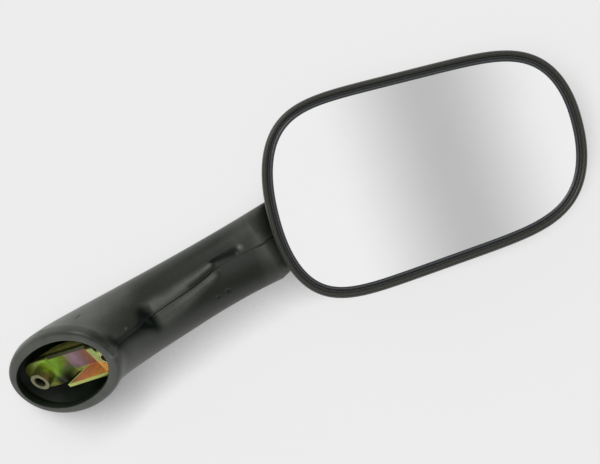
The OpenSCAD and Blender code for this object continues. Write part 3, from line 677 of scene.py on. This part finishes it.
def clouds(name, coarse, detail):
    """Soft clouds at a size, from 0 to 1."""
    group, got, out = new_group(name, [("NodeSocketFloat", "Scale", coarse)],
                                [("NodeSocketFloat", "Mask")])
    place = put(group, "ShaderNodeTexCoord")
    noise = put(group, "ShaderNodeTexNoise", {"Detail": detail, "Roughness": 0.55})
    spread = put(group, "ShaderNodeMapRange", {"From Min": 0.3, "From Max": 0.7})
    group.links.new(place.outputs["Object"], noise.inputs["Vector"])
    group.links.new(got.outputs["Scale"], noise.inputs["Scale"])
    group.links.new(noise.outputs["Fac"], spread.inputs["Value"])
    group.links.new(spread.outputs["Result"], out.inputs["Mask"])
    return group


def edge_wear(name):
    """1 on sharp outward edges and 0 on flat faces, from how pointed the mesh is there."""
    group, got, out = new_group(name, [("NodeSocketFloat", "Amount", 1.0)],
                                [("NodeSocketFloat", "Mask")])
    shape = put(group, "ShaderNodeNewGeometry")
    spread = put(group, "ShaderNodeMapRange", {"From Min": 0.52, "From Max": 0.62})
    times = put(group, "ShaderNodeMath", operation="MULTIPLY")
    group.links.new(shape.outputs["Pointiness"], spread.inputs["Value"])
    group.links.new(spread.outputs["Result"], times.inputs[0])
    group.links.new(got.outputs["Amount"], times.inputs[1])
    group.links.new(times.outputs[0], out.inputs["Mask"])
    return group


soft_clouds = clouds("Soft clouds", 40.0, 3.0)
fine_grain = clouds("Fine grain", 1800.0, 2.0)
worn_edges = edge_wear("Worn edges")
print("effects", [group.name for group in (soft_clouds, fine_grain, worn_edges)])

# %% [markdown]
# ## Short words for joining nodes
#
# A finish is a row of masks and colours, and each step is one node. These helpers make the
# node, join what goes into it and give back what comes out, so a finish below reads like a
# recipe. Joining each socket by hand gives the same nodes in three times the lines.

# %% Helpers for joining nodes
def effect(tree, group, scale):
    """The mask of a shared effect, finer as the scale grows."""
    return put(tree, "ShaderNodeGroup", {"Scale": scale}, node_tree=group).outputs["Mask"]


def marked(tree, name, output="Fac"):
    """A value that is stored on the mesh's points."""
    return put(tree, "ShaderNodeAttribute", attribute_name=name).outputs[output]


def number(tree, operation, first, second=0.0):
    """One sum on numbers or outputs."""
    node = put(tree, "ShaderNodeMath", operation=operation)
    for socket, value in zip(node.inputs, (first, second)):
        if isinstance(value, (int, float)):
            socket.default_value = value
        else:
            tree.links.new(value, socket)
    return node.outputs[0]


def measure(tree, operation, vector, other):
    """One number from two vectors: their dot product or their distance."""
    node = put(tree, "ShaderNodeVectorMath", operation=operation)
    node.inputs[1].default_value = other
    tree.links.new(vector, node.inputs[0])
    return node.outputs["Value"]


def rescale(tree, value, low, high, to_low=0.0, to_high=1.0, kind="LINEAR"):
    """Carries a number from one range into another, and stops at its ends."""
    node = put(tree, "ShaderNodeMapRange", {"From Min": low, "From Max": high, "To Min": to_low,
                                            "To Max": to_high}, interpolation_type=kind)
    tree.links.new(value, node.inputs["Value"])
    return node.outputs["Result"]


def soft_step(tree, value, low, high, to_low=0.0, to_high=1.0):
    """The same with a smooth start and end, as a mask's border needs."""
    return rescale(tree, value, low, high, to_low, to_high, "SMOOTHSTEP")


print("helpers for sums ready")

# %% Helpers for colours and shaders
def over(tree, mask, below, above):
    """One colour laid over another by a mask."""
    mix = put(tree, "ShaderNodeMix", data_type="RGBA")
    tree.links.new(mask, mix.inputs[0])
    for socket, value in ((mix.inputs[6], below), (mix.inputs[7], above)):
        if isinstance(value, tuple):
            socket.default_value = (*value, 1)
        else:
            tree.links.new(value, socket)
    return mix.outputs[2]


def colour_ramp(tree, value, stops):
    """Colours along a number, each at its own place."""
    ramp = put(tree, "ShaderNodeValToRGB")
    tree.links.new(value, ramp.inputs["Fac"])
    for position, colour in stops:
        ramp.color_ramp.elements.new(position).color = (*colour, 1)
    ramp.color_ramp.elements.remove(ramp.color_ramp.elements[0])
    ramp.color_ramp.elements.remove(ramp.color_ramp.elements[-1])
    return ramp.outputs["Color"]


def blended(tree, share, first, second):
    """A shader that goes from the first to the second as the share goes from 0 to 1."""
    node = put(tree, "ShaderNodeMixShader")
    for socket, value in zip(node.inputs, (share, first, second)):
        tree.links.new(value, socket)
    return node.outputs["Shader"]


def nodes_of(material):
    return material.node_tree, material.node_tree.nodes["Principled BSDF"]


def base_colour(shader):
    """What feeds the shader's colour now, so that a layer can be laid over it."""
    return shader.inputs["Base Color"].links[0].from_socket


print("helpers for colours ready")

# %% [markdown]
# ## Finishes
#
# Each finish is a base colour broken by clouds, a roughness broken by grain, and a little
# bump. Metals are metallic with a tinted base. One function makes the grain and a second
# adds the clouded colour, and what is special to a finish, such as the plating's rainbow,
# is joined in afterwards.

# %% Functions for the plain finishes
def grained(name, rough, metallic=0.0, grain=0.02, grain_size=1800.0, rough_spread=0.05):
    """A material with grain in its roughness and bump; grain is the bump's height in mm."""
    material = bpy.data.materials.new(name)
    material.use_nodes = True
    tree, shader = nodes_of(material)
    shader.inputs["Metallic"].default_value = metallic
    grit = effect(tree, fine_grain, grain_size)
    level = rescale(tree, grit, 0.0, 1.0, rough - rough_spread, rough + rough_spread)
    tree.links.new(level, shader.inputs["Roughness"])
    bump = put(tree, "ShaderNodeBump", {"Strength": 0.3, "Distance": grain * MM})
    tree.links.new(grit, bump.inputs["Height"])
    tree.links.new(bump.outputs["Normal"], shader.inputs["Normal"])
    return material


def finish(name, dark, light, rough, clouds_size=40.0, worn=None, **grain_words):
    """A grained material whose colour goes from dark to light in soft clouds."""
    material = grained(name, rough, **grain_words)
    tree, shader = nodes_of(material)
    colour = over(tree, effect(tree, soft_clouds, clouds_size), dark, light)
    if worn:
        wear = put(tree, "ShaderNodeGroup", node_tree=worn_edges)
        colour = over(tree, wear.outputs["Mask"], colour, worn)
    tree.links.new(colour, shader.inputs["Base Color"])
    return material


def dress(material, *names):
    """Gives the named pieces one finish in place of what they had."""
    for name in names:
        mesh = bpy.data.objects[name].data
        while mesh.materials:
            mesh.materials.pop(index=len(mesh.materials) - 1)
        mesh.materials.append(material)


print("finish helpers ready")

# %% [markdown]
# ## The plain pieces
#
# The moulded shell is black, and inside it are foam, bright steel, spring steel, pale nylon
# and plated plates. Most of this is hidden, so a plain finish serves, but each piece has
# its true material for whoever takes the mirror apart. The mirror glass is float glass
# silvered on its back. The silver is what one sees, so it is a smooth metal with a nearly
# white colour, and a few parts in a hundred of clouding in its roughness stand for the film
# that rain and cleaning leave.

# %% Finishes of the plain pieces
shell_look = finish("shell_plastic", (0.018, 0.019, 0.02), (0.026, 0.027, 0.028), 0.42, grain=0.03)
foam_look = finish("foam", (0.02, 0.02, 0.02), (0.05, 0.05, 0.05), 0.9, grain=0.2, grain_size=900)
bright_look = finish("bright_steel", (0.5, 0.51, 0.53), (0.66, 0.67, 0.69), 0.3, metallic=1)
spring_look = finish("spring_steel", (0.2, 0.2, 0.21), (0.3, 0.3, 0.31), 0.35, metallic=1)
nylon_look = finish("nylon", (0.72, 0.7, 0.62), (0.8, 0.79, 0.72), 0.45)
zinc_look = finish("yellow_zinc", (0.52, 0.44, 0.15), (0.62, 0.6, 0.28), 0.32, metallic=1,
                   worn=(0.7, 0.66, 0.4))
mirror_look = finish("mirror_glass", (0.93, 0.935, 0.93), (0.95, 0.952, 0.95), 0.0225, metallic=1,
                     grain=0.0, rough_spread=0.0075)
dress(shell_look, "head_shell_fine", "head_shell")
dress(foam_look, "glass_pad")
dress(bright_look, "clamp_screws", "clamp_washers", "ball_stud", "lock_washer", "stay_plug")
dress(spring_look, "clamp_springs")
dress(nylon_look, "seat_rear", "seat_front")
dress(zinc_look, "clamp_rear", "clamp_front", "lock_nut", "stay_tube", "mount_bracket",
      "mount_boss", "clinch_nut", "clinch_nut_fine")
dress(mirror_look, "mirror_glass")
print("materials so far", len(bpy.data.materials))

# %% [markdown]
# ## The trim ring's two tones
#
# The outer bead is a warm, satin black, and the inner band is cooler and has a glossier skin,
# as if another part of the mould had been polished. The ring was wrapped from rows, so a
# point's row tells the bead from the band, and one mask turns the colour and the gloss.

# %% The trim ring's two tones
BEAD_ROW, BAND_ROW = 14.0, 19.0
trim_look = grained("trim_plastic", 0.34, grain=0.01)
tree, shader = nodes_of(trim_look)
shader.inputs["Coat Roughness"].default_value = 0.18
band_mask = rescale(tree, marked(tree, "row"), BEAD_ROW, BAND_ROW)
tones = over(tree, band_mask, (0.030, 0.031, 0.024), (0.026, 0.030, 0.033))
tree.links.new(tones, shader.inputs["Base Color"])
tree.links.new(rescale(tree, band_mask, 0.0, 1.0, 0.15, 0.8), shader.inputs["Coat Weight"])
dress(trim_look, "trim_ring_fine", "trim_ring")
print("trim ring", len(tree.nodes), "nodes")

# %% [markdown]
# ## The rubber
#
# The boot is soft black rubber with a faint green cast. It carries painted light near the lip,
# on the high side of the neck, at the cup and on the pale creases, fine dust, and painted
# shade in the creases. The seam is a thin dark line. All but the dust come from the values
# that were stored on the points, so the colours lie exactly on the shapes. A painted picture
# would need the skin laid out flat first.

# %% The rubber
PAINTED_LIGHT_TONE, DUST_TONE = (0.080, 0.084, 0.073), (0.11, 0.115, 0.10)
# The near-black tone of the painted shade in the creases and of the seam line.
SHADE_AND_SEAM_TONE = (0.001, 0.004, 0.002)
rubber_look = finish("cover_rubber", (0.010, 0.012, 0.0085), (0.017, 0.020, 0.0145), 0.42,
                     grain=0.05, clouds_size=22)
tree, shader = nodes_of(rubber_look)
shader.inputs["Specular IOR Level"].default_value = 0.15
shader.inputs["Coat Roughness"].default_value = 0.36
shader.inputs["Coat Tint"].default_value = (0.97, 1.0, 0.93, 1)
patchy = rescale(tree, effect(tree, soft_clouds, 90), 0.2, 0.8, 0.8, 1.4)
# Painted light: the rubber is lighter where the third mark is set, broken up by clouds.
painted_light_share = number(tree, "MULTIPLY", marked(tree, "painted_light"), patchy)
colour = over(tree, painted_light_share, base_colour(shader), PAINTED_LIGHT_TONE)
dust = soft_step(tree, effect(tree, soft_clouds, 1100), 0.62, 0.85, 0.0, 0.08)
colour = over(tree, dust, colour, DUST_TONE)
# Painted shade in the sunken creases, together with the dark seam line, darkens the colour and takes
# off the coat.
seam_dark = rescale(tree, marked(tree, "seam"), 0.25, 0.95, 0.0, 0.85)
shade_and_seam = number(tree, "MAXIMUM", soft_step(tree, marked(tree, "hollow"), 0.0, 1.0), seam_dark)
tree.links.new(over(tree, shade_and_seam, colour, SHADE_AND_SEAM_TONE), shader.inputs["Base Color"])
tree.links.new(rescale(tree, shade_and_seam, 0.0, 1.0, 0.75, 0.1), shader.inputs["Coat Weight"])
dress(rubber_look, "arm_cover_fine", "arm_cover")
# Painted shade: the inside of the boot is darker than the outside.
shaded_inside_look = finish("cover_inside", (0.004, 0.008, 0.004), (0.010, 0.018, 0.009), 0.5, grain=0.08)
nodes_of(shaded_inside_look)[1].inputs["Specular IOR Level"].default_value = 0.25
cover.data.materials.append(shaded_inside_look)
print("rubber", len(tree.nodes), "nodes")

# %% [markdown]
# ## The plated bracket
#
# Yellow passivated zinc is a clear film over bright metal, and where it varies in thickness
# it turns green, pink, violet and orange, as oil does on water. The colours lie along the
# sheet, so a ramp along the bracket's own direction gives them, and clouds break up the
# borders. The lower flange has a ramp of its own, and masks across and out of the sheet lay
# the colours of the far side over them. On top lie a painted highlight on the slanted end,
# painted light and painted shade on the upper flange, and painted shade in the corner by the
# boss. The cut edges are a second finish, because there the film is thin.

# %% The colours of the plating
WEB_TINTS = (
    (0.0, (0.26, 0.28, 0.04)), (0.14, (0.34, 0.42, 0.06)), (0.26, (0.44, 0.76, 0.05)),
    (0.36, (0.32, 0.62, 0.07)), (0.41, (0.56, 0.34, 0.44)), (0.50, (0.44, 0.27, 0.34)),
    (0.58, (0.42, 0.18, 0.14)), (0.68, (0.70, 0.28, 0.06)), (0.82, (0.62, 0.36, 0.08)),
    (1.0, (0.36, 0.42, 0.12)))
LOW_FLANGE_TINTS = (
    (0.0, (0.16, 0.20, 0.03)), (0.40, (0.30, 0.34, 0.06)), (0.46, (0.95, 0.27, 0.18)),
    (0.62, (1.0, 0.38, 0.08)), (0.78, (0.80, 0.38, 0.06)), (1.0, (0.5, 0.42, 0.08)))
FAR_SIDE_ORANGE, FAR_SIDE_GREEN = (0.85, 0.36, 0.05), (0.42, 0.56, 0.16)
# Painted highlight for the lower flange's slanted end.
END_EDGE_HIGHLIGHT = (0.80, 0.88, 0.20)
# Painted shade and painted light for the upper flange's outer face.
OUTER_SHADE, OUTER_HIGHLIGHT = (0.10, 0.11, 0.02), (1.0, 1.0, 0.24)
SHADE_TINT, DIRT_TINT = (0.02, 0.022, 0.01), (0.10, 0.10, 0.04)


def sheet_places(tree):
    """A point's place on the bracket, then its parts along, across and out of the sheet."""
    place = marked(tree, "sheet_place", "Vector")
    split = put(tree, "ShaderNodeSeparateXYZ")
    tree.links.new(place, split.inputs["Vector"])
    return place, *split.outputs


print("tints along the web", len(WEB_TINTS), "and along the flange", len(LOW_FLANGE_TINTS))

# %% The plated bracket
bracket_look = grained("plated_bracket", 0.32, metallic=0.5)
tree, shader = nodes_of(bracket_look)
place, x, y, z = sheet_places(tree)
drift = number(tree, "MULTIPLY", effect(tree, soft_clouds, 110), 5.0)
along = rescale(tree, number(tree, "ADD", drift, x), -10.0, 60.0)
far_side = over(tree, soft_step(tree, y, -3.0, 2.0), FAR_SIDE_ORANGE, FAR_SIDE_GREEN)
colour = colour_ramp(tree, along, WEB_TINTS)
colour = over(tree, soft_step(tree, x, 41.0, 46.0), colour, far_side)
on_low_flange = soft_step(tree, y, -6.6, -7.6)
colour = over(tree, on_low_flange, colour, colour_ramp(tree, along, LOW_FLANGE_TINTS))
# Painted highlight on the lower flange's slanted end.
slant = measure(tree, "DOT_PRODUCT", place, (1.0, 0.0, 0.77))
end_edge_highlight = number(tree, "MULTIPLY", soft_step(tree, slant, 15.2, 14.4), on_low_flange)
colour = over(tree, end_edge_highlight, colour, END_EDGE_HIGHLIGHT)
# Painted light and painted shade on the upper flange's outer face.
outer = over(tree, soft_step(tree, z, -8.6, -9.8), OUTER_SHADE, OUTER_HIGHLIGHT)
colour = over(tree, soft_step(tree, y, 8.6, 9.2), colour, outer)
from_corner = measure(tree, "DISTANCE", place, (7.5, -8.0, -9.0))
colour = over(tree, soft_step(tree, from_corner, 8.5, 3.0), colour, SHADE_TINT)
dirt = number(tree, "MULTIPLY", effect(tree, soft_clouds, 260), 0.35)
colour = over(tree, dirt, colour, DIRT_TINT)
tree.links.new(colour, shader.inputs["Base Color"])
dress(bracket_look, "bracket_fine")
print("plating", len(tree.nodes), "nodes")

# %% The bracket's cut edges
edge_look = finish("cut_edge", (0.42, 0.48, 0.10), (0.60, 0.64, 0.20), 0.35, metallic=0.7)
tree, shader = nodes_of(edge_look)
y = sheet_places(tree)[2]
# Painted shade: the upper flange's cut edges are darker.
edge_shade = over(tree, soft_step(tree, y, 4.0, 7.0), base_colour(shader), (0.05, 0.055, 0.012))
tree.links.new(edge_shade, shader.inputs["Base Color"])
bracket.data.materials.append(edge_look)
print("cut edges", sum(face.material_index for face in bracket.data.polygons), "faces")

# %% [markdown]
# ## The boss
#
# The boss has the same plating, but its end was turned on a lathe and takes the light as a
# duller ring, and its bore is painted nearly black, which is painted shade in the hole. One
# piece carries the three finishes: each face picks its own by how far it lies from the
# screw's line and how high.

# %% The boss
BORE_REACH, END_LEVEL = 3.3, -0.6
boss_look = finish("plated_boss", (0.34, 0.32, 0.10), (0.52, 0.50, 0.20), 0.3, metallic=0.85)
ring_look = finish("boss_ring", (0.17, 0.17, 0.085), (0.27, 0.265, 0.14), 0.35, metallic=0.6)
# Painted shade: the bore is nearly black.
bore_shade_look = finish("boss_bore", (0.012, 0.013, 0.005), (0.03, 0.03, 0.012), 0.5, metallic=0.3)
dress(boss_look, "boss_fine")
boss.data.materials.append(ring_look)
boss.data.materials.append(bore_shade_look)
for face in boss.data.polygons:
    centre = np.array(face.center) / MM
    level = centre @ mount_n
    reach = np.linalg.norm(centre - level * mount_n)
    on_end = level > END_LEVEL and abs(np.array(face.normal) @ mount_n) > 0.6
    face.material_index = 2 if reach < BORE_REACH else int(on_end)
print("boss faces in the bore", sum(face.material_index == 2 for face in boss.data.polygons))

# %% [markdown]
# ## The table behind the object
#
# The picture is taken looking straight down at a pale table, so the table is a plane behind
# the object, which rests on it with the foot's far end, the hub and the back of the head.
# It is clear from behind, so that the back can be looked at. A lamp strong enough for a
# white table would wash out the black rubber, so the table glows by itself for the camera
# and is darkened only where something stands close above it on the window's side.

# %% The table's plane
TABLE_BACK, TABLE_LEAN_X, TABLE_LEAN_Z = 0.0185, -0.0312, -0.1435
bm = bmesh.new()
table_grid = bmesh.ops.create_grid(bm, x_segments=1, y_segments=1, size=2.5)
for vert in table_grid["verts"]:
    x, z = vert.co.x, vert.co.y
    vert.co = (x, TABLE_BACK + TABLE_LEAN_X * x + TABLE_LEAN_Z * z, z)
bmesh.ops.recalc_face_normals(bm, faces=bm.faces)
if bm.faces[:][0].normal.y > 0:
    bmesh.ops.reverse_faces(bm, faces=bm.faces)
mesh = bpy.data.meshes.new("table")
bm.to_mesh(mesh)
bm.free()
table = bpy.data.objects.new("table", mesh)
bpy.context.scene.collection.objects.link(table)
print("table is", TABLE_BACK, "m behind the origin")

# %% The table's finish
WHITE_LEVEL, DARKEST_SHADOW = 0.847, 0.2
TABLE_GLOW, SHADOW_REACH = 0.94, 0.035
TO_WINDOW = (-0.45, -0.65, 0.61)
table_look = bpy.data.materials.new("table")
table_look.use_nodes = True
tree, shader = nodes_of(table_look)
shader.inputs["Base Color"].default_value = (0.85, 0.85, 0.85, 1)
shader.inputs["Roughness"].default_value = 0.9
shader.inputs["Specular IOR Level"].default_value = 0.0
glow = put(tree, "ShaderNodeEmission", {"Color": (1, 1, 0.998, 1)})
near = put(tree, "ShaderNodeAmbientOcclusion", {"Distance": SHADOW_REACH}, samples=12)
towards = put(tree, "ShaderNodeCombineXYZ", dict(zip("XYZ", unit(TO_WINDOW))))
tree.links.new(towards.outputs["Vector"], near.inputs["Normal"])
softened = rescale(tree, near.outputs["AO"], 0.4, 0.88, DARKEST_SHADOW, WHITE_LEVEL)
tree.links.new(softened, glow.inputs["Strength"])
path = put(tree, "ShaderNodeLightPath")
for_camera = number(tree, "MULTIPLY", path.outputs["Is Camera Ray"], TABLE_GLOW)
bright = blended(tree, for_camera, shader.outputs["BSDF"], glow.outputs["Emission"])
shape = put(tree, "ShaderNodeNewGeometry")
clear = put(tree, "ShaderNodeBsdfTransparent")
both_sides = blended(tree, shape.outputs["Backfacing"], bright, clear.outputs["BSDF"])
tree.links.new(both_sides, tree.nodes["Material Output"].inputs["Surface"])
mesh.materials.append(table_look)
print("table finish", len(tree.nodes), "nodes")

# %% [markdown]
# ## The light
#
# The world is a big soft tent, brighter towards the upper left in front, so faces that turn
# that way are lighter and the shadow falls to the lower right. What shiny faces mirror is a
# plainer room: bright above, dim in front. Straight in front hangs a white card with one
# soft upright grey band, and the glass shows it. A picture of a real room would do as well,
# but these few sums have no seams and show what each of them does.

# %% The tent and the mirrored room
CARD_LEVEL, BAND_LEVEL, BESIDE_LEVEL = 0.905, 0.525, 1.15
BAND_AT, BAND_HALF, GLASS_MIDDLE = 0.0911, 0.067, 0.07
world = bpy.data.worlds.new("studio")
bpy.context.scene.world = world
world.use_nodes = True
tree = world.node_tree
tree.nodes.clear()
ray = put(tree, "ShaderNodeTexCoord").outputs["Generated"]
split = put(tree, "ShaderNodeSeparateXYZ")
tree.links.new(ray, split.inputs["Vector"])


def mixed(tree, share, first, second):
    """One number that goes from the first to the second as the share goes from 0 to 1."""
    rest = number(tree, "SUBTRACT", 1.0, share)
    return number(tree, "ADD", number(tree, "MULTIPLY", first, rest),
                  number(tree, "MULTIPLY", second, share))


def apart(tree, value, middle):
    """How far a number is from a middle, on either side."""
    return number(tree, "ABSOLUTE", number(tree, "SUBTRACT", value, middle))


tent = soft_step(tree, measure(tree, "DOT_PRODUCT", ray, unit(TO_WINDOW)), -0.2, 1.0, 0.2, 1.3)
ahead = number(tree, "MAXIMUM", number(tree, "MULTIPLY", split.outputs["Y"], -1.0), 0.001)
side = number(tree, "DIVIDE", split.outputs["X"], ahead)
rise = number(tree, "DIVIDE", split.outputs["Z"], ahead)
band = soft_step(tree, apart(tree, side, BAND_AT), BAND_HALF, 0.0)
height = number(tree, "ABSOLUTE", rise)
off_glass = number(tree, "MAXIMUM", height, apart(tree, side, GLASS_MIDDLE))
beside = soft_step(tree, off_glass, 0.16, 0.26)
card = mixed(tree, beside, mixed(tree, band, CARD_LEVEL, BAND_LEVEL), BESIDE_LEVEL)
reach = number(tree, "MAXIMUM", number(tree, "ABSOLUTE", side), height)
on_card = soft_step(tree, reach, 0.42, 0.3)
room = soft_step(tree, measure(tree, "DOT_PRODUCT", ray, unit((-0.15, -0.95, 0.2))),
                 0.45, -0.2, 0.13, 0.85)
mirrored = mixed(tree, on_card, room, card)
print("sums for the light", len(tree.nodes))

# %% What the camera, shiny faces and the rest see of the world
def background(tree, level):
    """A colourless sky at a level, which is a number or an output."""
    node = put(tree, "ShaderNodeBackground", {"Color": (1, 1, 1, 1)})
    if isinstance(level, float):
        node.inputs["Strength"].default_value = level
    else:
        tree.links.new(level, node.inputs["Strength"])
    return node.outputs["Background"]


path = put(tree, "ShaderNodeLightPath")
lighting = blended(tree, path.outputs["Is Glossy Ray"], background(tree, tent),
                   background(tree, mirrored))
whole = blended(tree, path.outputs["Is Camera Ray"], lighting, background(tree, WHITE_LEVEL))
out = put(tree, "ShaderNodeOutputWorld")
tree.links.new(whole, out.inputs["Surface"])
print("world", len(tree.nodes), "nodes")

# %% The window's light
sun_light = bpy.data.lights.new("window", "SUN")
sun_light.energy = 0.8
sun_light.angle = math.radians(34)
sun_light.specular_factor = 0.3
sun = bpy.data.objects.new("window", sun_light)
bpy.context.scene.collection.objects.link(sun)
sun.rotation_euler = Vector([-c for c in TO_WINDOW]).to_track_quat("-Z", "Y").to_euler()
print("window light from", TO_WINDOW)

# %% [markdown]
# ## The camera
#
# A long lens from nearly a metre away keeps the shapes as flat as in a shop picture. The
# camera looks straight along +Y and is rolled, because the mirror lies aslant in the frame.
# Its three directions are the columns of its matrix, which is plainer than three angles.

# %% The camera
CAMERA_AT = (0.1536, -0.940, 0.0320)
lens = bpy.data.cameras.new("camera")
lens.lens, lens.sensor_width = 108, 36
camera = bpy.data.objects.new("camera", lens)
bpy.context.scene.collection.objects.link(camera)
roll = math.radians(18.3)
right = Vector((math.cos(roll), 0, -math.sin(roll)))
upward = Vector((math.sin(roll), 0, math.cos(roll)))
turned = Matrix((right, upward, right.cross(upward))).transposed().to_4x4()
camera.matrix_world = Matrix.Translation(CAMERA_AT) @ turned
bpy.context.scene.camera = camera
bpy.context.scene.view_settings.view_transform = "Standard"
print("camera at", CAMERA_AT)
